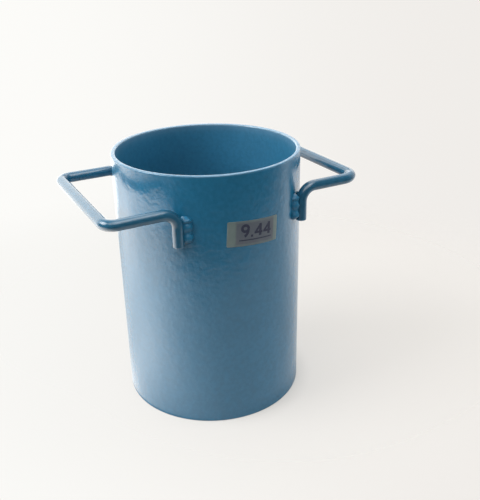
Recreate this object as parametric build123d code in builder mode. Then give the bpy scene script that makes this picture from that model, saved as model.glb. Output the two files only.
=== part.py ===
"""Bulk density measure: an open steel cylinder with a welded base and two bent-rod handles.

Millimetres. The vessel's axis is +Z and the origin is the centre of the plane it stands on.
The handles stand out along +X and -X, and the label is on the -Y side.
"""
from build123d import *
from math import asin, cos, degrees, radians, sin, sqrt
import os

# Vessel
inside_diameter = 203.0
inside_height = 292.0
wall_thickness = 5.0
base_thickness = 5.0
base_recess = 3.0
base_fit = 0.1
rim_outer_round = 1.4
rim_inner_round = 0.9
foot_round = 1.5

# Weld ring under the base plate
base_weld_clearance = 0.5
base_weld_bulge = 0.3

# Handles: one bent rod each
rod_diameter = 12.0
handle_span = 169.0
grip_standoff = 42.0
handle_drop = 37.0
leg_length = 37.5
left_grip_bend = 12.0
right_grip_bend = 17.0
leg_bend = 16.0
rod_end_chamfer = 0.8
leg_fit_gap = 0.2

# Weld beads beside the legs, each a row of lumps
weld_lumps = 3
weld_foot_rise = 1.0
weld_top_drop = 5.0
weld_root = 1.5
weld_end_rise = 1.0
outer_weld_crest = 9.8
outer_weld_valley = 8.6
outer_weld_depth = 3.0
outer_weld_inset = 0.0
inner_weld_crest = 4.5
inner_weld_valley = 4.1
inner_weld_depth = 1.5
inner_weld_inset = 2.5

# Label on the front wall, stuck on a little crooked
label_width = 60.0
label_height = 28.0
label_thickness = 0.4
label_corner = 1.5
label_drop = 66.4
label_shift = 2.0
label_tilt = 3.4

# Sizes that follow from the ones above
inside_radius = inside_diameter / 2
outer_radius = inside_radius + wall_thickness
floor_height = base_recess + base_thickness
overall_height = floor_height + inside_height
rod_radius = rod_diameter / 2
rod_height = overall_height - handle_drop
leg_end_height = rod_height - leg_length
grip_reach = outer_radius + grip_standoff
leg_axis_radius = outer_radius + leg_fit_gap + rod_radius
half_span = handle_span / 2
leg_reach = sqrt(leg_axis_radius**2 - half_span**2)
leg_angle = degrees(asin(half_span / leg_axis_radius))
base_weld_leg = base_recess - base_weld_clearance
weld_foot = leg_end_height + weld_foot_rise
weld_length = rod_height - weld_top_drop - weld_foot

os.makedirs("parts", exist_ok=True)


def save(piece, name):
    """Label a finished piece with its name and write it as one file."""
    piece.part.label = name
    export_step(piece.part, f"parts/{name}.step")


def bent_rod_handle(side, grip_bend):
    """A rod bent into a wide U, with both ends turned down against the wall.

    side is 1 for the handle on +X and -1 for the one on -X, and grip_bend is the radius of the rod's
    middle line at both ends of the grip.
    """
    with BuildPart() as handle:
        with BuildLine() as rod_line:
            FilletPolyline(
                (side * leg_reach, -half_span, leg_end_height),
                (side * leg_reach, -half_span, rod_height),
                (side * grip_reach, -half_span, rod_height),
                (side * grip_reach, half_span, rod_height),
                (side * leg_reach, half_span, rod_height),
                (side * leg_reach, half_span, leg_end_height),
                radius=[leg_bend, grip_bend, grip_bend, leg_bend],
            )
        away_from_wall = (side * leg_reach, -half_span, 0)
        with BuildSketch(Plane(origin=rod_line.line @ 0, x_dir=away_from_wall, z_dir=rod_line.line % 0)):
            Circle(rod_radius)
        sweep(path=rod_line.line)
        leg_ends = handle.edges().filter_by(GeomType.CIRCLE).group_by(Axis.Z)[0]
        chamfer(leg_ends, length=rod_end_chamfer)
    return handle


def leg_weld(handle, leg_bearing, flank, crest, valley, depth, inset):
    """A lumpy weld bead that fills the corner between one flank of a leg and the wall.

    The bead is a wavy body turned about an upright line under the wall's face, inset from the
    rod's side, and is cut back to the wall, the rod and the root beside the line where the leg
    meets the wall. leg_bearing is the leg's angle round the vessel and flank is 1 or -1 along it.
    """
    bearing = radians(leg_bearing)
    outward = Vector(cos(bearing), sin(bearing), 0)
    along_wall = Vector(-sin(bearing), cos(bearing), 0) * flank
    centre = outward * (outer_radius - depth) + along_wall * (rod_radius - inset)
    bottom = centre + Vector(0, 0, weld_foot)
    end = depth + weld_end_rise
    lump = weld_length / weld_lumps
    lump_starts = [number * lump for number in range(weld_lumps)]
    waists = [end] + [valley] * (weld_lumps - 1) + [end]
    with BuildPart() as bead:
        with BuildSketch(Plane(origin=bottom, x_dir=along_wall, z_dir=along_wall.cross(Vector(0, 0, 1)))):
            with BuildLine():
                Polyline((end, weld_length), (0, weld_length), (0, 0), (end, 0))
                for start, low, high in zip(lump_starts, waists, waists[1:]):
                    ThreePointArc((low, start), (crest, start + lump / 2), (high, start + lump))
            make_face()
        revolve(axis=Axis(bottom, (0, 0, 1)))
        Cylinder(
            outer_radius,
            overall_height,
            align=(Align.CENTER, Align.CENTER, Align.MIN),
            mode=Mode.SUBTRACT,
        )
        add(handle.part, mode=Mode.SUBTRACT)
        root = outward * outer_radius + along_wall * weld_root
        split(bisect_by=Plane(origin=root, z_dir=along_wall), keep=Keep.TOP)
    return bead


# Round wall, with its rim and foot rounded off
with BuildPart() as cylinder_wall:
    with BuildSketch():
        Circle(outer_radius)
        Circle(inside_radius, mode=Mode.SUBTRACT)
    extrude(amount=overall_height)
    rim_edges = cylinder_wall.edges().filter_by(GeomType.CIRCLE).group_by(Axis.Z)[-1].sort_by(SortBy.RADIUS)
    fillet(rim_edges[-1], radius=rim_outer_round)
    fillet(rim_edges[0], radius=rim_inner_round)
    foot_edges = cylinder_wall.edges().filter_by(GeomType.CIRCLE).group_by(Axis.Z)[0].sort_by(SortBy.RADIUS)
    fillet(foot_edges[-1], radius=foot_round)
save(cylinder_wall, "cylinder_wall")

# Bottom plate, let into the wall's lower end and raised off the ground
with BuildPart() as base_plate:
    with BuildSketch(Plane.XY.offset(base_recess)):
        Circle(inside_radius - base_fit)
    extrude(amount=base_thickness)
save(base_plate, "base_plate")

# Ring of weld in the corner under the base plate
with BuildPart() as base_weld:
    with BuildSketch(Plane.XZ):
        with BuildLine():
            corner = (inside_radius, base_recess)
            plate_toe = (inside_radius - base_weld_leg, base_recess)
            wall_toe = (inside_radius, base_recess - base_weld_leg)
            Polyline(wall_toe, corner, plate_toe)
            face_middle = base_weld_leg / 2 + base_weld_bulge
            ThreePointArc(plate_toe, (inside_radius - face_middle, base_recess - face_middle), wall_toe)
        make_face()
    revolve(axis=Axis.Z)
save(base_weld, "base_weld")

# Handles, and the two weld beads on each of their legs
handles = (("left", -1, 180.0, left_grip_bend), ("right", 1, 0.0, right_grip_bend))
for handle_name, handle_side, handle_bearing, grip_bend in handles:
    handle = bent_rod_handle(handle_side, grip_bend)
    save(handle, f"{handle_name}_handle")
    for leg_name, leg_side in (("front", -1), ("rear", 1)):
        turn = handle_side * leg_side
        leg_bearing = handle_bearing + turn * leg_angle
        outer_weld = leg_weld(
            handle,
            leg_bearing,
            turn,
            outer_weld_crest,
            outer_weld_valley,
            outer_weld_depth,
            outer_weld_inset,
        )
        save(outer_weld, f"{handle_name}_{leg_name}_outer_weld")
        inner_weld = leg_weld(
            handle,
            leg_bearing,
            -turn,
            inner_weld_crest,
            inner_weld_valley,
            inner_weld_depth,
            inner_weld_inset,
        )
        save(inner_weld, f"{handle_name}_{leg_name}_inner_weld")

# Label: a thin curved sheet, cut from a sleeve that fits the wall
with BuildPart() as label_plate:
    with BuildSketch():
        Circle(outer_radius + label_thickness)
        Circle(outer_radius, mode=Mode.SUBTRACT)
    extrude(amount=overall_height)
    label_middle = Vector(label_shift, 0, overall_height - label_drop)
    with BuildSketch(Plane(origin=label_middle, x_dir=(1, 0, 0), z_dir=(0, -1, 0))):
        RectangleRounded(label_width, label_height, label_corner, rotation=-label_tilt)
    extrude(amount=outer_radius + wall_thickness, mode=Mode.INTERSECT)
save(label_plate, "label_plate")
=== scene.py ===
"""The bulk density measure, dressed for its picture.

Metres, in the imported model's frame: the vessel's axis is +Z, the handles stand out along X and the label
faces -Y. The vessel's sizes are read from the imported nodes' boxes, and the values below add the rest.
"""

from math import acos, asin, cos, degrees, pi, radians, sin, sqrt, tan

import bpy
import numpy as np
from mathutils import Matrix, Vector


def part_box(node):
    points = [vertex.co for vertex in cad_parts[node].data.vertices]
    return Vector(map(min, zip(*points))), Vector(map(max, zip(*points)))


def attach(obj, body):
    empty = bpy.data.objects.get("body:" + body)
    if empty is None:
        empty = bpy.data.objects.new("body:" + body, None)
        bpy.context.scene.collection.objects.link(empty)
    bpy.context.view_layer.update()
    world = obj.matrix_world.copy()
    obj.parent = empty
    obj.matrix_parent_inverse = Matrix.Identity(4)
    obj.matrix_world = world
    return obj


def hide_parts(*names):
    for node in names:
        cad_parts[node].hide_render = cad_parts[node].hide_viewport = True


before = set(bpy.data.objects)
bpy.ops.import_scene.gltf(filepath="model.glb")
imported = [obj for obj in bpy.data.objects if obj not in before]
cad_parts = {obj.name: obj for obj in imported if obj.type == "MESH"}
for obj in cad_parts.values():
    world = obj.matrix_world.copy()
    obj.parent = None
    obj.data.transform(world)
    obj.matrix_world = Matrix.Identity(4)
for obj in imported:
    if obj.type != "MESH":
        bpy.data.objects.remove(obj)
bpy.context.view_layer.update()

# Vessel
base_fit = 0.0001
rim_outer_round = 0.0014
rim_inner_round = 0.0016
foot_round = 0.0015
outer_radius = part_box("cylinder_wall")[1].x
rim_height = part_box("cylinder_wall")[1].z
inside_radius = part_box("base_plate")[1].x + base_fit
base_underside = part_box("base_plate")[0].z

# Paleness of the wall's paint at each edge, and how far down the inside the rim's paleness reaches
# Worn paint at the foot; at the rim partly worn paint and partly a painted highlight
foot_wear = 0.4
rim_outer_wear_and_highlight = 0.5
rim_top_wear_and_highlight = 0.7
rim_inner_wear_and_highlight = 2.2
rim_wear_and_highlight_reach = 0.010

# Weld ring under the base plate
base_weld_leg = 0.0025
base_weld_bulge = 0.0003
base_weld_pitch = 0.0042
base_weld_ripple = 0.00014
base_weld_bow = 0.6
base_weld_sink = 0.0004

# Handles: one bent rod each
rod_radius = 0.006
half_span = 0.0845
grip_standoff = 0.042
handle_drop = 0.037
leg_length = 0.0375
grip_bends = {"left": 0.012, "right": 0.017}
leg_bend = 0.016
rod_end_round = 0.0008
leg_fit_gap = 0.0002
rod_height = rim_height - handle_drop
leg_end_height = rod_height - leg_length
grip_reach = outer_radius + grip_standoff
leg_axis_radius = outer_radius + leg_fit_gap + rod_radius
leg_reach = sqrt(leg_axis_radius**2 - half_span**2)
leg_angle = degrees(asin(half_span / leg_axis_radius))

# Weld beads beside the legs. The lumps' middles and half lengths are shares of the bead's length, and
# their crests are shares of its crest.
weld_foot_rise = 0.001
weld_top_drop = 0.005
weld_foot = leg_end_height + weld_foot_rise
weld_top = rod_height - weld_top_drop
weld_root = 0.0015
weld_root_sink = 0.0005
weld_end_taper = 0.0080
weld_end_face = 0.00004
weld_ripple_pitch = 0.0017
weld_ripple = 0.00006
weld_arc_degrees = (4, 104)
lump_middles = np.array([0.22, 0.60, 0.89])
lump_halves = np.array([0.27, 0.21, 0.15])
lump_crests = np.array([1.00, 0.95, 0.97])
lump_spread = 0.04
lump_flatness = 0.45
lump_bow = 0.002
lump_least = 0.02
lump_power = 14
valley_share = 0.74
outer_bead = {"crest": 0.0104, "depth": 0.003, "inset": 0.0}
inner_bead = {"crest": 0.0045, "depth": 0.0015, "inset": 0.0025}
outer_seed = 10
inner_seed = 30

# Label on the front wall, stuck on a little crooked, with bands along its sides. Its face runs out to its
# edge, which rolls over, by shares of the outline and of the thickness.
label_width = 0.060
label_height = 0.028
label_thickness = 0.0004
label_corner = 0.0015
label_shift = 0.002
label_drop = 0.0664
label_middle = (label_shift, rim_height - label_drop)
label_tilt = radians(-3.4)
label_left_band = 0.009
label_right_band = 0.005
label_cross_band = 0.0035
cross_band_strength = 0.5
label_face = (0.02, 0.985)
label_edge = (0.993, 0.998, 1.0, 1.0)
label_edge_lift = (0.97, 0.85, 0.60, 0.0)

# Print on the label: the figures' middles from the label's middle, then strokes from a figure's middle
print_thickness = 0.00005
nine_middle = (-0.0105, 0.0022)
point_middle = (-0.0025, 0.0020)
four_middles = {"first": (0.0055, 0.0022), "second": (0.0165, 0.0022)}
rule_middle = (0.0025, -0.0075)
nine_centre = (0, 0.0034)
nine_radii = (0.0036, 0.0034)
tail_centre = (-0.0018, 0.0034)
tail_radii = (0.0054, 0.0089)
tail_degrees = -78
nine_width = 0.0030
four_lines = {
    "slope": {"start": (0.0026, 0.0066), "end": (-0.0042, -0.0026), "width": 0.0025},
    "bar": {"start": (-0.0052, -0.0024), "end": (0.0048, -0.0024), "width": 0.0025},
    "stem": {"start": (0.0020, 0.0070), "end": (0.0020, -0.0066), "width": 0.0032},
}
point_half = 0.0014
point_drop = 0.0054
point_width = 0.0026
rule_half = 0.0195
rule_width = 0.0013

# How finely the pieces are meshed
vessel_sides = 360
wall_steps = 30
flat_steps = 3
edge_steps = 9
rod_sides = 48
straight_steps = 16
bend_steps = 19
rod_end_steps = 7
bead_steps = 161
bead_arc_steps = 30
ring_face_steps = 15
ripple_steps = 10
label_sides = 240
label_face_steps = 30
label_back_stride = 4
nine_steps = 49
tail_steps = 25
line_steps = 20
point_steps = 8
rule_steps = 60
stroke_columns = 5
floor_sides = 96
sharp_angle = radians(50)

# Enamel: linear colours, deep and pale, then the size and depth of its orange peel, how dull and how shiny
# it is, and the noises that make it uneven
vessel_blues = ((0.0105, 0.117, 0.216, 1), (0.0145, 0.135, 0.248, 1))
handle_blues = ((0.016, 0.092, 0.160, 1), (0.020, 0.106, 0.184, 1))
worn_and_highlight_blue = (0.17, 0.29, 0.39, 1)
worn_and_highlight_share = 0.35
vessel_peel = (0.0045, 0.00032)
handle_peel = (0.0060, 0.00012)
weld_peel = (0.0040, 0.00016)
vessel_dullness = 0.17
handle_dullness = 0.11
weld_dullness = 0.30
scour_dullness = 0.28
base_dullness = vessel_dullness + scour_dullness
cloud_dullness = 0.06
grain_dullness = 0.04
smooth_shine = 0.7
weld_shine = 0.35
cloud_size = 0.060
wave_size = 0.018
grain_share = 0.25
peel_height = 0.8
grain_height = 0.2
wave_height = 1.6
cloud_shade = 0.5
shade_range = (0.5, 1.0)

# Label foil and ink, linear colours, deep and pale
field_greys = ((0.085, 0.104, 0.128, 1), (0.130, 0.149, 0.173, 1))
band_greys = ((0.138, 0.190, 0.182, 1), (0.182, 0.234, 0.222, 1))
band_range = (0.3, 0.7)
foil_mottle_size = 0.006
foil_streaks = (60, 60, 2500)
foil_metal = 0.25
foil_dullness = 0.36
streak_dullness = 0.12
streak_depth = 0.00001
ink_blues = ((0.012, 0.016, 0.040, 1), (0.030, 0.036, 0.070, 1))
thin_ink_size = 0.0012
thin_ink_range = (0.35, 0.75)
ink_dullness = 0.38
thin_ink_dullness = 0.2
thin_ink_depth = 0.00002

# Backdrop, linear colours, at the left and the right of the picture
backdrop_left = (0.975, 0.970, 0.945, 1)
backdrop_right = (0.870, 0.845, 0.815, 1)
backdrop_range = (-0.35, 0.35)

# Floor: an oval of paper, its middle and reach given across the picture and away from the camera
floor_middle = (-0.03, 0.19)
floor_reach = (0.87, 0.70)
floor_radius = 1.10
floor_hub = 0.01
floor_top = -0.0003
floor_bottom = -0.0023
paper_greys = ((0.50, 0.49, 0.48, 1), (0.53, 0.52, 0.51, 1))
seen_paper = (0.595, 0.578, 0.551, 1)
paper_mottle_size = 0.15
paper_white = 0.95
seen_end = (0.04, 0.60)
unseen_end = (0.78, 1.22)
shadow_range = (-0.2, 0.2)
lit_side_white = 0.95
shadow_side_loss = 0.47
contact_loss = 0.25
contact_reach = 0.022
mirrored_white = 0.80

# Room: linear colours, and where they blend, as shares of a look straight away, left or up
room_dim = (0.07, 0.07, 0.073, 1)
room_white = (1.0, 0.98, 0.97, 1)
room_range = (-0.1, 0.5)
window_glow = (2.8, 2.66, 2.49, 1)
window_side = (-0.05, 0.4)
window_depth = (0, 0.25)
window_top = (0.4, 0.8)

# Lamps, placed and aimed right of the vessel's axis, away from the camera and up. A lamp with a heading in
# place of an aim lies on the floor and faces up. The size is the width and height of its face, and the
# feather is the share of the face over which an edge falls to dark.
lamp_feather = 0.25
plain_tint = (1.0, 1.0, 1.0)
warm_tint = (1.0, 0.93, 0.87)
panel_lift = 0.004
panel_lean = 0.002
lamps = {
    "key": {"place": (-1.36, -0.40, 1.31), "aim": (0, 0, 0.2), "size": (1.5, 1.5), "radiance": 9.4},
    "fill": {"place": (0.1, -0.95, 1.65), "aim": (0, 0, 0.2), "size": (2.4, 1.6), "radiance": 2.9},
    "right": {
        "place": (1.5, 0.1, 0.60),
        "aim": (0, 0, 0.2),
        "size": (1.2, 0.9),
        "radiance": 5.0,
        "glossy": False,
    },
    "low_panel": {
        "place": (-0.665, -0.067, panel_lift),
        "heading": 50.5,
        "size": (1.42, 1.15),
        "radiance": 2.95,
        "feather": 0.36,
        "tint": warm_tint,
        "diffuse": False,
    },
    "near_panel": {
        "place": (-0.17, -0.10, panel_lift),
        "heading": 4,
        "size": (0.43, 0.30),
        "radiance": 1.5,
        "feather": 0.5,
        "tint": warm_tint,
        "diffuse": False,
    },
    "far_panel": {
        "place": (-0.35, 0.68, panel_lift),
        "heading": 0,
        "size": (0.7, 0.6),
        "radiance": 2.4,
        "feather": 0.3,
        "diffuse": False,
    },
    "right_panel": {
        "place": (0.55, 0.40, panel_lift),
        "heading": 0,
        "size": (0.9, 0.9),
        "radiance": 0.6,
        "feather": 0.4,
        "diffuse": False,
    },
    "behind": {
        "place": (0.3, 1.7, 0.62),
        "aim": (0, 0, 0.3),
        "size": (2.8, 0.7),
        "radiance": 1.4,
        "feather": 0.4,
        "diffuse": False,
    },
    "overhead": {
        "place": (0.45, -0.25, 1.8),
        "aim": (0.45, -0.25, 0),
        "size": (1.8, 1.8),
        "radiance": 3.2,
        "feather": 0.4,
        "diffuse": False,
    },
    "sky": {
        "place": (0.2, 1.2, 1.7),
        "aim": (0, 0, 0.3),
        "size": (2.4, 1.4),
        "radiance": 2.4,
        "feather": 0.4,
    },
}

# Camera, as the picture was taken
camera_place = Vector((-0.319, -0.683, 0.515))
camera_heading = radians(27.8)
camera_dip = radians(24.57)
camera_roll = radians(-1.1)
camera_lens = 49.42
camera_sensor = 36.0


class Signal:
    """A shader value. Arithmetic on it adds Math nodes to the finish that it belongs to."""

    def __init__(self, finish, socket):
        self.finish = finish
        self.socket = socket

    def maths(self, operation, *terms):
        """A Math node that takes these terms in turn."""
        return self.finish.node("ShaderNodeMath", {"operation": operation}, dict(enumerate(terms)))

    def __add__(self, other):
        return self.maths("ADD", self, other)

    def __sub__(self, other):
        return self.maths("SUBTRACT", self, other)

    def __rsub__(self, other):
        return self.maths("SUBTRACT", other, self)

    def __mul__(self, other):
        return self.maths("MULTIPLY", self, other)

    __radd__ = __add__
    __rmul__ = __mul__


class Finish:
    """The node tree of a material, of a lamp or of the world."""

    def __init__(self, owner):
        owner.use_nodes = True
        self.tree = owner.node_tree
        self.tree.nodes.clear()

    def node(self, kind, settings=None, sockets=None, output=0):
        """Add a node: first its settings, then the values or links of its sockets. Gives one output."""
        made = self.tree.nodes.new(kind)
        for name, value in (settings or {}).items():
            setattr(made, name, value)
        for name, value in (sockets or {}).items():
            if isinstance(value, Signal):
                self.tree.links.new(value.socket, made.inputs[name])
            else:
                made.inputs[name].default_value = value
        return Signal(self, made.outputs[output]) if len(made.outputs) else None

    def place(self):
        """Object coordinates, in metres."""
        return self.node("ShaderNodeTexCoord", output="Object")

    def mark(self, name):
        """A value that the piece's mesh holds for each of its points."""
        return self.node("ShaderNodeAttribute", {"attribute_name": name}, output="Fac")

    def noise(self, place, size, detail=2.0):
        """Soft noise from 0 to 1 with lumps of about that size in metres."""
        return self.node("ShaderNodeTexNoise", {}, {"Vector": place, "Scale": 1 / size, "Detail": detail})

    def along(self, place, way):
        """How far a place lies along a direction: their dot product."""
        terms = {0: place, 1: tuple(way)}
        return self.node("ShaderNodeVectorMath", {"operation": "DOT_PRODUCT"}, terms, "Value")

    def step(self, value, low, high):
        """0 below low, 1 above high and a smooth climb between them."""
        return self.node(
            "ShaderNodeMapRange",
            {"interpolation_type": "SMOOTHSTEP"},
            {"Value": value, "From Min": low, "From Max": high},
        )

    def blend(self, share, first, second):
        """The first colour where share is 0 and the second where it is 1."""
        return self.node("ShaderNodeMix", {"data_type": "RGBA"}, {0: share, 6: first, 7: second}, 2)

    def bump(self, height, depth):
        """A surface normal tilted by a height, of which 1 stands for depth in metres."""
        return self.node("ShaderNodeBump", {}, {"Height": height, "Distance": depth})


def new_finish(name):
    """A named material and the finish that fills it."""
    material = bpy.data.materials.new(name)
    return material, Finish(material)


def enamel(name, blues, peel_form, dullness, shine):
    """Glossy blue enamel: a slow change of shade, orange peel on slow waves, and paler edges.

    A piece's marks say where its edges are paler and where it is scoured dull. Paler edges are worn
    paint, and on the vessel's rim partly a painted highlight.
    """
    material, finish = new_finish(name)
    peel_size, peel_depth = peel_form
    place = finish.place()
    cloud = finish.noise(place, cloud_size)
    peel = finish.noise(place, peel_size, detail=1.0)
    grain = finish.noise(place, peel_size * grain_share, detail=1.0)
    wave = finish.noise(place, wave_size, detail=1.0)
    shade = finish.step(cloud_shade * cloud + peel, *shade_range)
    body = finish.blend(shade, *blues)
    # Paler edges: worn paint, and on the vessel's rim partly a painted highlight
    colour = finish.blend(finish.mark("edge") * worn_and_highlight_share, body, worn_and_highlight_blue)
    unevenness = cloud_dullness * cloud + grain_dullness * grain
    scouring = scour_dullness * finish.mark("scour")
    relief = peel_height * peel + grain_height * grain + wave_height * wave
    shader = finish.node("ShaderNodeBsdfPrincipled", {}, {
        "Base Color": colour,
        "Roughness": dullness + unevenness + scouring,
        "Normal": finish.bump(relief, peel_depth),
        "Specular IOR Level": shine,
    })
    finish.node("ShaderNodeOutputMaterial", {}, {"Surface": shader})
    return material


def foil():
    """Dull metal foil of the label: a warm grey border round a cooler field, with fine brushed streaks."""
    material, finish = new_finish("label_foil")
    place = finish.place()
    streak = finish.node("ShaderNodeMapping", {}, {"Vector": place, "Scale": foil_streaks})
    brushed = finish.noise(streak, 1.0)
    mottle = finish.noise(place, foil_mottle_size)
    field = finish.blend(mottle, *field_greys)
    band = finish.blend(mottle, *band_greys)
    border = finish.step(finish.mark("border"), *band_range)
    shader = finish.node("ShaderNodeBsdfPrincipled", {}, {
        "Base Color": finish.blend(border, field, band),
        "Metallic": foil_metal,
        "Roughness": foil_dullness + streak_dullness * brushed,
        "Normal": finish.bump(brushed, streak_depth),
    })
    finish.node("ShaderNodeOutputMaterial", {}, {"Surface": shader})
    return material


def ink():
    """Dark blue printing ink, a little uneven where it lies thin on the foil."""
    material, finish = new_finish("label_ink")
    thin = finish.noise(finish.place(), thin_ink_size)
    shader = finish.node("ShaderNodeBsdfPrincipled", {}, {
        "Base Color": finish.blend(finish.step(thin, *thin_ink_range), *ink_blues),
        "Roughness": ink_dullness + thin_ink_dullness * thin,
        "Normal": finish.bump(thin, thin_ink_depth),
    })
    finish.node("ShaderNodeOutputMaterial", {}, {"Surface": shader})
    return material


def arc(centre, radii, start, end, steps):
    """Points of an arc about a centre, between two angles in degrees. Two radii make it an oval's arc."""
    turn = np.radians(np.linspace(start, end, steps))
    return np.asarray(centre) + np.asarray(radii) * np.stack([np.cos(turn), np.sin(turn)], axis=-1)


def run(start, end, steps):
    """Points inside a straight run, closer together towards its ends so that shading stays even."""
    share = (1 - np.cos(np.linspace(0, pi, steps + 2)[1:-1])) / 2
    return np.asarray(start) + share[:, None] * (np.asarray(end) - np.asarray(start))


def add_piece(name, points, material, slot=None, stands_for=(), joined=False, **marks):
    """A closed skin over a grid of points, whose columns run round the shape and whose rows run along it.

    The last column joins the first. The end rows are joined to each other, or else each is closed by a fan
    to its middle. Faces point outwards, by the sign of the volume that they enclose. Each mark is a value
    for every grid point, kept as an attribute of that name.
    """
    rows, columns = points.shape[:2]
    corners = points.reshape(-1, 3)
    number = np.arange(rows * columns).reshape(rows, columns)
    number = np.hstack([number, number[:, :1]])
    fans = np.empty((0, 3), int)
    if joined:
        number = np.vstack([number, number[:1]])
    else:
        corners = np.vstack([corners, points[0].mean(0), points[-1].mean(0)])
        first = np.stack([np.full(columns, rows * columns), number[0, 1:], number[0, :-1]], axis=-1)
        last = np.stack([np.full(columns, rows * columns + 1), number[-1, :-1], number[-1, 1:]], axis=-1)
        fans = np.vstack([first, last])
    quads = np.stack([number[:-1, :-1], number[:-1, 1:], number[1:, 1:], number[1:, :-1]], axis=-1)
    quads = quads.reshape(-1, 4)
    triangles = np.vstack([quads[:, :3], quads[:, [0, 2, 3]], fans])
    a, b, c = (corners - corners.mean(0))[triangles].transpose(1, 0, 2)
    if (a * np.cross(b, c)).sum() < 0:
        quads = quads[:, ::-1]
        fans = fans[:, ::-1]
    mesh = bpy.data.meshes.new(name)
    mesh.from_pydata(corners.tolist(), [], quads.tolist() + fans.tolist())
    mesh.shade_smooth()
    mesh.set_sharp_from_angle(angle=sharp_angle)
    for mark, values in marks.items():
        field = mesh.attributes.new(mark, "FLOAT", "POINT")
        spread = np.zeros(len(corners), np.float32)
        spread[:rows * columns] = values.ravel()
        field.data.foreach_set("value", spread)
    mesh.materials.append(material)
    piece = bpy.data.objects.new(name, mesh)
    bpy.context.scene.collection.objects.link(piece)
    if stands_for:
        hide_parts(*stands_for)
    return piece


def ride_on_vessel(piece):
    """Nothing moves on the measure, so every piece rides on its one body."""
    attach(piece, "root")


def vessel_wall(material):
    """The round wall: its cut outline, straight runs with an arc at each rounded edge, turned about Z.

    Each stretch of the outline has its own paleness, and the inside is scoured. The paleness is worn
    paint, and at the rim partly a painted highlight, which fades evenly down the inside.
    """
    foot = arc((outer_radius - foot_round, foot_round), foot_round, -90, 0, edge_steps)
    outer_centre = (outer_radius - rim_outer_round, rim_height - rim_outer_round)
    inner_centre = (inside_radius + rim_inner_round, rim_height - rim_inner_round)
    rim_out = arc(outer_centre, rim_outer_round, 0, 90, edge_steps)
    rim_in = arc(inner_centre, rim_inner_round, 90, 180, edge_steps)
    inner_foot = np.array([[inside_radius, 0.0]])
    inner_run = run(rim_in[-1], inner_foot[0], wall_steps)
    # Paler paint below the rim, partly worn paint and partly a painted highlight, fading with depth
    inner_wear_and_highlight = np.clip(1 - (rim_height - inner_run[:, 1]) / rim_wear_and_highlight_reach, 0, 1)
    stretches = [
        (foot, foot_wear, 0),
        (run(foot[-1], rim_out[0], wall_steps), 0, 0),
        (rim_out, rim_outer_wear_and_highlight, 0),
        (run(rim_out[-1], rim_in[0], flat_steps), rim_top_wear_and_highlight, 0),
        (rim_in, rim_inner_wear_and_highlight, 0),
        (inner_run, inner_wear_and_highlight, 1),
        (inner_foot, 0, 1),
        (run(inner_foot[0], foot[0], flat_steps), 0, 0),
    ]
    outline = np.vstack([points for points, paleness, scoured in stretches])
    edge = np.concatenate([np.full(len(points), paleness) for points, paleness, scoured in stretches])
    scour = np.concatenate([np.full(len(points), scoured) for points, paleness, scoured in stretches])
    turn = np.linspace(0, 2 * pi, vessel_sides, endpoint=False)[:, None]
    radius = outline[None, :, 0]
    grid = (vessel_sides, len(outline))
    height = np.broadcast_to(outline[None, :, 1], grid)
    wall = add_piece(
        "vessel_wall",
        np.stack([radius * np.cos(turn), radius * np.sin(turn), height], axis=-1),
        material,
        "vessel_enamel",
        ["cylinder_wall"],
        joined=True,
        edge=np.broadcast_to(edge, grid),
        scour=np.broadcast_to(scour, grid),
    )
    ride_on_vessel(wall)


def bent_route(corners, radii):
    """Points along a bent rod's middle line: straight runs, with an arc of its own radius at each corner.

    With a and b the directions before and after a corner and n the part of b square to a, an arc point is
    start + radius * (sin(turn) * a + (1 - cos(turn)) * n), and start lies radius * tan(half turn) before
    the corner.
    """
    corners = [np.asarray(corner, float) for corner in corners]
    route = [corners[0][None]]
    here = corners[0]
    for before, corner, after, radius in zip(corners, corners[1:], corners[2:], radii):
        a = (corner - before) / np.linalg.norm(corner - before)
        b = (after - corner) / np.linalg.norm(after - corner)
        whole_turn = acos(a @ b)
        n = (b - (a @ b) * a) / np.linalg.norm(b - (a @ b) * a)
        start = corner - a * radius * tan(whole_turn / 2)
        turn = np.linspace(0, whole_turn, bend_steps)[:, None]
        bend = start + radius * (np.sin(turn) * a + (1 - np.cos(turn)) * n)
        route += [run(here, start, straight_steps), bend]
        here = bend[-1]
    route += [run(here, corners[-1], straight_steps), corners[-1][None]]
    return np.vstack(route)


def rod_along(route, radius, end_round):
    """A round rod along a route: circles square to it, that shrink on a quarter arc at both ends.

    Gives the points, and a wear that falls from 1 at an end to 0 within two end rounds of it.
    """
    ways = np.gradient(route, axis=0)
    lengths = np.concatenate([[0], np.cumsum(np.linalg.norm(np.diff(route, axis=0), axis=1))])
    lip = end_round * (1 - np.cos(np.linspace(0, pi / 2, rod_end_steps)))
    inner = lengths[(lengths > end_round) & (lengths < lengths[-1] - end_round)]
    stations = np.concatenate([lip, inner, lengths[-1] - lip[::-1]])
    middle = np.stack([np.interp(stations, lengths, route[:, axis]) for axis in range(3)], axis=-1)
    way = np.stack([np.interp(stations, lengths, ways[:, axis]) for axis in range(3)], axis=-1)
    way /= np.linalg.norm(way, axis=1, keepdims=True)
    from_end = np.minimum(stations, lengths[-1] - stations)
    inset = np.clip(end_round - from_end, 0, None)
    girth = radius - end_round + np.sqrt(end_round**2 - inset**2)
    # A direction that no stretch of a rod follows, so that the circles never flip
    slant = np.array([0.36, 0.48, 0.80])
    side = np.cross(way, slant)
    side /= np.linalg.norm(side, axis=1, keepdims=True)
    up = np.cross(side, way)
    turn = np.linspace(0, 2 * pi, rod_sides, endpoint=False)[None, :, None]
    ring = np.cos(turn) * side[:, None] + np.sin(turn) * up[:, None]
    paleness = np.clip(1 - from_end / (2 * end_round), 0, 1)
    return middle[:, None] + girth[:, None, None] * ring, paleness


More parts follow.
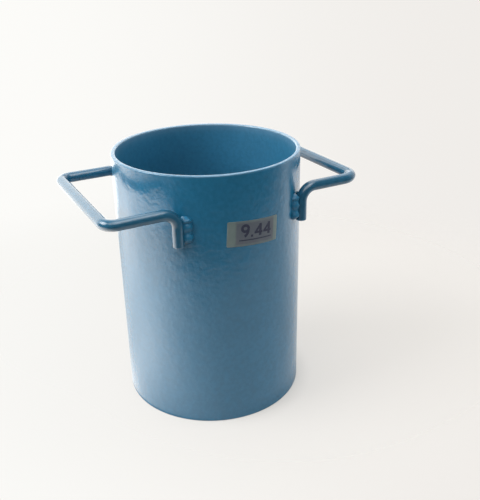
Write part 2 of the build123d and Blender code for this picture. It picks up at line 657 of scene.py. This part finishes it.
def bent_handle(name, side, grip_bend, material):
    """A rod bent into a wide U in a level plane, with both ends turned down against the wall."""
    corners = [
        (side * leg_reach, -half_span, leg_end_height),
        (side * leg_reach, -half_span, rod_height),
        (side * grip_reach, -half_span, rod_height),
        (side * grip_reach, half_span, rod_height),
        (side * leg_reach, half_span, rod_height),
        (side * leg_reach, half_span, leg_end_height),
    ]
    route = bent_route(corners, [leg_bend, grip_bend, grip_bend, leg_bend])
    points, paleness = rod_along(route, rod_radius, rod_end_round)
    edge = np.broadcast_to(paleness[:, None], points.shape[:2])
    rod = add_piece(f"{name}_rod", points, material, "handle_enamel", [name], edge=edge)
    ride_on_vessel(rod)


def leg_bead(name, bearing, flank, seed, material, crest, depth, inset):
    """A weld bead in the corner between one flank of a leg and the wall.

    Seen along the leg, the bead is an arc about a line that lies depth under the wall's face. The arc's
    radius is a smooth maximum, the root of a sum of high powers, of an even valley radius and of a row of
    uneven round lumps. Each lump has the radius crest * sqrt(1 - reach^2 - flatness * tilt^2), with reach
    the distance from the lump's middle over its half length and tilt the angle from the arc's middle over
    half the arc. Lumps and fine ripples bow back along the bead by tilt^2, and the bead narrows to both
    ends on a quarter circle.
    """
    draw = np.random.default_rng(seed)
    length = weld_top - weld_foot
    middles = (lump_middles + draw.uniform(-lump_spread, lump_spread, len(lump_middles))) * length
    halves = lump_halves * length
    crests = crest * lump_crests * (1 + draw.uniform(-lump_spread, lump_spread, len(lump_crests)))
    along = np.linspace(0, length, bead_steps)[:, None]
    swing = np.radians(np.linspace(*weld_arc_degrees, bead_arc_steps))[None, :]
    tilt = (swing - swing.mean()) / (swing.max() - swing.mean())
    bowed = along + lump_bow * tilt**2
    reach = (bowed[..., None] - middles) / halves
    fullness = np.clip(1 - reach**2 - lump_flatness * tilt[..., None] ** 2, lump_least, None)
    lumps = crests * np.sqrt(fullness)
    valley = valley_share * crest
    lumpy = ((lumps**lump_power).sum(-1) + valley**lump_power) ** (1 / lump_power)
    from_end = np.minimum(along, length - along) + weld_end_face
    taper = np.sqrt(1 - np.clip(1 - from_end / weld_end_taper, 0, 1) ** 2)
    ripple = weld_ripple * np.sin(2 * pi * bowed / weld_ripple_pitch)
    girth = (lumpy + ripple) * taper
    sideways = rod_radius - inset + girth * np.cos(swing)
    outward = outer_radius - depth + girth * np.sin(swing)
    root_sideways = np.full_like(along, weld_root)
    root_outward = np.full_like(along, outer_radius - weld_root_sink)
    sideways = np.hstack([sideways, root_sideways]) * flank
    outward = np.hstack([outward, root_outward])
    c = cos(radians(bearing))
    s = sin(radians(bearing))
    height = np.broadcast_to(weld_foot + along, outward.shape)
    points = np.stack([outward * c - sideways * s, outward * s + sideways * c, height], axis=-1)
    bead = add_piece(f"{name}_bead", points, material, "weld_enamel", [name])
    ride_on_vessel(bead)


def base_ring(material):
    """The ring of weld under the base plate, rippled along its length.

    Its face lies leg / (cos + sin) from the corner of plate and wall, at each angle between them, plus a
    bulge of sin(2 angle) and ripples that bow along the ring by the square of the angle from the middle.
    """
    ripples = round(2 * pi * inside_radius / base_weld_pitch)
    turn = np.linspace(0, 2 * pi, ripples * ripple_steps, endpoint=False)[:, None]
    swing = np.radians(np.linspace(0, 90, ring_face_steps))[None, :]
    bow = base_weld_bow * (swing / (pi / 4) - 1) ** 2
    face = base_weld_leg / (np.cos(swing) + np.sin(swing)) + base_weld_bulge * np.sin(2 * swing)
    face = face + base_weld_ripple * np.sin(2 * swing) * np.cos(ripples * turn + 2 * pi * bow)
    corner_radius = np.full_like(turn, inside_radius + base_weld_sink)
    corner_height = np.full_like(turn, base_underside + base_weld_sink)
    radius = np.hstack([inside_radius - face * np.cos(swing), corner_radius])
    height = np.hstack([base_underside - face * np.sin(swing), corner_height])
    points = np.stack([radius * np.cos(turn), radius * np.sin(turn), height], axis=-1)
    ring = add_piece("base_weld_ring", points, material, "weld_enamel", ["base_weld"], joined=True)
    ride_on_vessel(ring)


def on_label(sheet, lift):
    """Carry points of the flat label, across and up from its middle, onto the wall at a lift above it.

    They are turned by the label's tilt, and y is then -sqrt((radius + lift)^2 - x^2).
    """
    across = sheet[..., 0]
    up = sheet[..., 1]
    x = label_middle[0] + across * np.cos(label_tilt) - up * np.sin(label_tilt)
    z = label_middle[1] + across * np.sin(label_tilt) + up * np.cos(label_tilt)
    return np.stack([x, -np.sqrt((outer_radius + lift) ** 2 - x**2), z], axis=-1)


def rounded_outline(width, height, corner, steps):
    """Evenly spaced points round a rectangle with rounded corners."""
    x = width / 2 - corner
    y = height / 2 - corner
    corners = [
        arc((x, y), corner, 0, 90, edge_steps),
        arc((-x, y), corner, 90, 180, edge_steps),
        arc((-x, -y), corner, 180, 270, edge_steps),
        arc((x, -y), corner, 270, 360, edge_steps),
    ]
    ring = np.vstack(corners + [corners[0][:1]])
    lengths = np.concatenate([[0], np.cumsum(np.linalg.norm(np.diff(ring, axis=0), axis=1))])
    stations = np.linspace(0, lengths[-1], steps, endpoint=False)
    return np.stack([np.interp(stations, lengths, ring[:, axis]) for axis in range(2)], axis=-1)


def label_sheet(material):
    """The label: shrinking copies of its outline, laid from its face's middle over its edge to its back.

    Its border is 1.5 - distance from the edge / width of the band, held between 0 and 1, so a band ends
    where that is a half. The bands along the top and the bottom are weaker than those at the sides.
    """
    outline = rounded_outline(label_width, label_height, label_corner, label_sides)
    face = np.linspace(*label_face, label_face_steps)
    back = face[::-label_back_stride]
    shares = np.concatenate([face, label_edge, back])
    lifts = np.concatenate([np.ones_like(face), label_edge_lift, np.zeros_like(back)])
    sheet = shares[:, None, None] * outline
    points = on_label(sheet, (lifts * label_thickness)[:, None])
    from_left = sheet[..., 0] + label_width / 2
    from_right = label_width / 2 - sheet[..., 0]
    from_cross = label_height / 2 - abs(sheet[..., 1])
    from_side = np.minimum(from_left / label_left_band, from_right / label_right_band)
    side_border = np.clip(1.5 - from_side, 0, 1)
    cross_border = np.clip(1.5 - from_cross / label_cross_band, 0, 1)
    border = np.maximum(side_border, cross_band_strength * cross_border)
    label = add_piece("label_sheet", points, material, "label_foil", ["label_plate"], border=border)
    ride_on_vessel(label)


def printed_stroke(name, path, width, material):
    """A flat stroke of ink: a thin oblong carried along a path on the label, square to it."""
    way = np.gradient(path, axis=0)
    way /= np.linalg.norm(way, axis=1, keepdims=True)
    square = np.stack([-way[:, 1], way[:, 0]], axis=-1)
    share = np.linspace(-0.5, 0.5, stroke_columns)
    top = path[:, None] + width * share[None, :, None] * square[:, None]
    lift = np.full(stroke_columns, label_thickness + print_thickness)
    sheet = np.concatenate([top, top[:, ::-1]], axis=1)
    lifts = np.concatenate([lift, lift - 2 * print_thickness])
    stroke = add_piece(name, on_label(sheet, lifts[None, :]), material)
    ride_on_vessel(stroke)


def printed_number(material):
    """The number 9.44, the capacity in litres, over a rule. Each stroke is a line or arcs of ovals."""
    bowl = arc(nine_centre, nine_radii, 0, 360, nine_steps)
    tail = arc(tail_centre, tail_radii, 0, tail_degrees, tail_steps)[1:]
    point = run((-point_half, -point_drop), (point_half, -point_drop), point_steps)
    rule = run((-rule_half, 0), (rule_half, 0), rule_steps)
    printed_stroke("label_nine", np.vstack([bowl, tail]) + nine_middle, nine_width, material)
    printed_stroke("label_point", point + point_middle, point_width, material)
    for number, middle in four_middles.items():
        for part, line in four_lines.items():
            path = run(line["start"], line["end"], line_steps) + middle
            printed_stroke(f"label_{number}_four_{part}", path, line["width"], material)
    printed_stroke("label_rule", rule + rule_middle, rule_width, material)


def from_camera(right, away, up):
    """A place on the stage, given right of the vessel's axis, away from the camera as it looks, and up."""
    return Matrix.Rotation(-camera_heading, 3, "Z") @ Vector((right, away, up))


def backdrop(finish, across):
    """The backdrop's colour, which changes from the left of the picture to the right."""
    return finish.blend(finish.step(across, *backdrop_range), backdrop_left, backdrop_right)


def floor_paper():
    """Pale paper, an oval that fades out by reach = (across / half width)^2 + (away / half length)^2.

    The camera sees an even white in place of most of the lit paper, less of it on the right, where the
    shadow falls, and least beside the foot there, and further out it sees past the paper. A mirrored floor
    is white too. Other light finds plain paper that ends in the room's dark. From below it is clear.
    """
    material, finish = new_finish("pale_floor")
    place = finish.place()
    across = finish.along(place, from_camera(1, 0, 0))
    away = finish.along(place, from_camera(0, 1, 0))
    across_share = (across - floor_middle[0]) * (1 / floor_reach[0])
    away_share = (away - floor_middle[1]) * (1 / floor_reach[1])
    reach = across_share * across_share + away_share * away_share
    seen = finish.node("ShaderNodeLightPath", output="Is Camera Ray")
    mirrored = finish.node("ShaderNodeLightPath", output="Is Glossy Ray")
    plain_paper = finish.blend(finish.noise(place, paper_mottle_size), *paper_greys)
    colour = finish.blend(seen, plain_paper, seen_paper)
    paper = finish.node("ShaderNodeBsdfDiffuse", {}, {"Color": colour})
    white = finish.node("ShaderNodeEmission", {}, {
        "Color": backdrop(finish, across),
        "Strength": paper_white,
    })
    from_axis = finish.node("ShaderNodeVectorMath", {"operation": "LENGTH"}, {0: place}, "Value")
    shadow_side = finish.step(across, *shadow_range)
    contact = shadow_side * (1 - finish.step(from_axis, outer_radius, outer_radius + contact_reach))
    seen_white = lit_side_white - shadow_side_loss * shadow_side - contact_loss * contact
    white_share = seen_white * seen + mirrored * (mirrored_white - mirrored_white * contact)
    lit = finish.node("ShaderNodeMixShader", {}, {0: white_share, 1: paper, 2: white})
    clear = finish.node("ShaderNodeBsdfTransparent")
    fade = seen * finish.step(reach, *seen_end) + (1 - seen) * finish.step(reach, *unseen_end)
    below = finish.node("ShaderNodeNewGeometry", output="Backfacing")
    shader = finish.node("ShaderNodeMixShader", {}, {0: fade + below - fade * below, 1: lit, 2: clear})
    finish.node("ShaderNodeOutputMaterial", {}, {"Surface": shader})
    return material


def stage_floor(material):
    """A thin round sheet under the measure: rings on its top and its underside, closed at its hub."""
    turn = np.linspace(0, 2 * pi, floor_sides, endpoint=False)[None, :]
    radius = np.array([floor_hub, floor_radius, floor_radius, floor_hub])[:, None]
    height = np.array([floor_top, floor_top, floor_bottom, floor_bottom])[:, None]
    points = np.stack([radius * np.cos(turn), radius * np.sin(turn), height + 0 * turn], axis=-1)
    floor = add_piece("floor", points, material)


def soft_lamp(
    name, place, size, radiance, aim=None, heading=0,
    feather=lamp_feather, tint=plain_tint, diffuse=True, glossy=True,
):
    """An oblong soft lamp, that falls off to dark at its edges and that the camera doesn't see.

    With u and v from 0 to 1 over its face, its brightness is radiance * s(u) * s(1 - u) * s(v) * s(1 - v),
    and s climbs smoothly from 0 to 1 over the feathered share of the face. It is turned towards its aim.
    With no aim it faces up, and its height runs along a heading in degrees right of away.
    """
    width, height = size
    light = bpy.data.lights.new(name, "AREA")
    light.shape = "RECTANGLE"
    light.size = width
    light.size_y = height
    light.color = tint
    light.energy = radiance * pi * width * height
    finish = Finish(light)
    face = finish.node("ShaderNodeNewGeometry", output="Parametric")
    u = finish.node("ShaderNodeSeparateXYZ", {}, {0: face}, "X")
    v = finish.node("ShaderNodeSeparateXYZ", {}, {0: face}, "Y")
    across = finish.step(u, 0, feather) * finish.step(1 - u, 0, feather)
    along = finish.step(v, 0, feather) * finish.step(1 - v, 0, feather)
    shade = finish.blend(across * along, (0, 0, 0, 1), (1, 1, 1, 1))
    glow = finish.node("ShaderNodeEmission", {}, {"Color": shade})
    finish.node("ShaderNodeOutputLight", {}, {"Surface": glow})
    spot = from_camera(*place)
    lean = panel_lean * from_camera(sin(radians(heading)), cos(radians(heading)), 0)
    target = from_camera(*aim) if aim else spot + Vector((0, 0, 1)) + lean
    lamp = bpy.data.objects.new(name, light)
    lamp.location = spot
    lamp.rotation_mode = "QUATERNION"
    lamp.rotation_quaternion = (target - spot).to_track_quat("-Z", "Y")
    lamp.visible_camera = False
    lamp.visible_diffuse = diffuse
    lamp.visible_glossy = glossy
    bpy.context.scene.collection.objects.link(lamp)


def studio_room():
    """The room: white behind the measure, dim on the camera's side, and a bright window at the back left.

    Where the camera looks, the room shows as the backdrop.
    """
    world = bpy.data.worlds.new("room")
    bpy.context.scene.world = world
    finish = Finish(world)
    seen = finish.node("ShaderNodeLightPath", output="Is Camera Ray")
    way = finish.node("ShaderNodeTexCoord", output="Generated")
    away = finish.along(way, from_camera(0, 1, 0))
    across = finish.along(way, from_camera(1, 0, 0))
    height = finish.node("ShaderNodeSeparateXYZ", {}, {0: way}, "Z")
    walls = finish.blend(finish.step(away, *room_range), room_dim, room_white)
    beside = finish.step(0 - across, *window_side) * finish.step(away, *window_depth)
    window = beside * (1 - finish.step(height, *window_top))
    room = finish.blend(window, walls, window_glow)
    colour = finish.blend(seen, room, backdrop(finish, across))
    light = finish.node("ShaderNodeBackground", {}, {"Color": colour})
    finish.node("ShaderNodeOutputWorld", {}, {"Surface": light})


def picture_camera():
    """The camera, turned by its heading about Z, its dip below the level and its small roll."""
    camera = bpy.data.cameras.new("camera")
    camera.lens = camera_lens
    camera.sensor_width = camera_sensor
    view = bpy.data.objects.new("camera", camera)
    heading = Matrix.Rotation(-camera_heading, 4, "Z")
    dip = Matrix.Rotation(pi / 2 - camera_dip, 4, "X")
    roll = Matrix.Rotation(camera_roll, 4, "Z")
    view.matrix_world = Matrix.Translation(camera_place) @ heading @ dip @ roll
    bpy.context.scene.collection.objects.link(view)
    bpy.context.scene.camera = view


vessel_enamel = enamel("vessel_enamel", vessel_blues, vessel_peel, vessel_dullness, smooth_shine)
base_enamel = enamel("base_enamel", vessel_blues, vessel_peel, base_dullness, smooth_shine)
handle_enamel = enamel("handle_enamel", handle_blues, handle_peel, handle_dullness, smooth_shine)
weld_enamel = enamel("weld_enamel", vessel_blues, weld_peel, weld_dullness, weld_shine)

vessel_wall(vessel_enamel)
base_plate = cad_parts["base_plate"].data
base_plate.materials.clear()
base_plate.materials.append(base_enamel)
base_ring(weld_enamel)
for handle_name, handle_side, handle_bearing in (("left", -1, 180.0), ("right", 1, 0.0)):
    bent_handle(f"{handle_name}_handle", handle_side, grip_bends[handle_name], handle_enamel)
    for leg_name, leg_side in (("front", -1), ("rear", 1)):
        leg = f"{handle_name}_{leg_name}"
        turn = handle_side * leg_side
        bearing = handle_bearing + turn * leg_angle
        own_seed = 2 * handle_side + leg_side
        leg_bead(f"{leg}_outer_weld", bearing, turn, outer_seed + own_seed, weld_enamel, **outer_bead)
        leg_bead(f"{leg}_inner_weld", bearing, -turn, inner_seed + own_seed, weld_enamel, **inner_bead)
label_sheet(foil())
printed_number(ink())

stage_floor(floor_paper())
for lamp_name, lamp in lamps.items():
    soft_lamp(lamp_name, **lamp)
studio_room()
picture_camera()
bpy.context.scene.view_settings.view_transform = "Standard"
